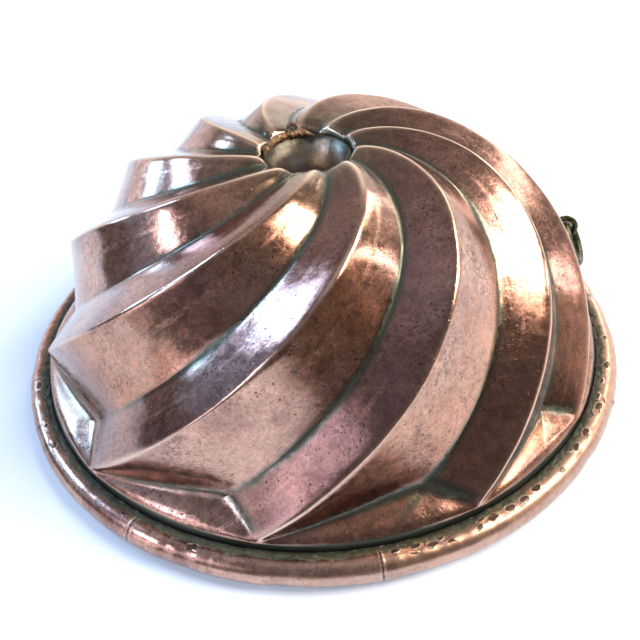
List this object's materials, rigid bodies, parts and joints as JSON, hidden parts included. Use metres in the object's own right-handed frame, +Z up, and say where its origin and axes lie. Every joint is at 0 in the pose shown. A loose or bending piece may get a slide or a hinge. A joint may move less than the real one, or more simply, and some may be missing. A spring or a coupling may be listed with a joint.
{
  "type": "swirled ring cake mould",
  "caption": "Round fluted cake mould of worn sheet copper, with swirled ridges, an open tapered centre tube, a rim rolled over wire and a small loose ring to hang it by.",
  "frame": {"origin": "centre of the mould's mouth, on the plane the rolled rim rests on", "axes": "+Z up the centre tube from mouth to crown; the hanging ring is on the +X side"},
  "size_m": [0.2398, 0.24, 0.089],
  "materials": {
    "worn_copper": "old polished copper, browned and scratched",
    "funnel_copper": "dull brown copper",
    "brazing_brass": "rough cast braze",
    "rusted_iron": "rusted wire",
    "eye_brass": "dark olive patina",
    "washer_copper": "dark brown patina",
    "inner_washer_copper": "dull copper",
    "ring_brass": "dark olive patina"
  },
  "bodies": {
    "mould": {"mould_shell": "worn_copper", "centre_tube": "funnel_copper", "well_braze": "brazing_brass", "rim_wire": "rusted_iron", "hanger_eye": "eye_brass", "hanger_washer": "washer_copper", "hanger_inner_washer": "inner_washer_copper"},
    "ring": {"hanging_ring": "ring_brass"}
  },
  "joints": [
    {"name": "ring_swing", "type": "hinge", "parent": "mould", "child": "ring", "pos_m": [0.10415, 0.01171, 0.03771], "axis": [-0.3314, -0.9435, 0], "range_deg": [0, 200]}
  ]
}
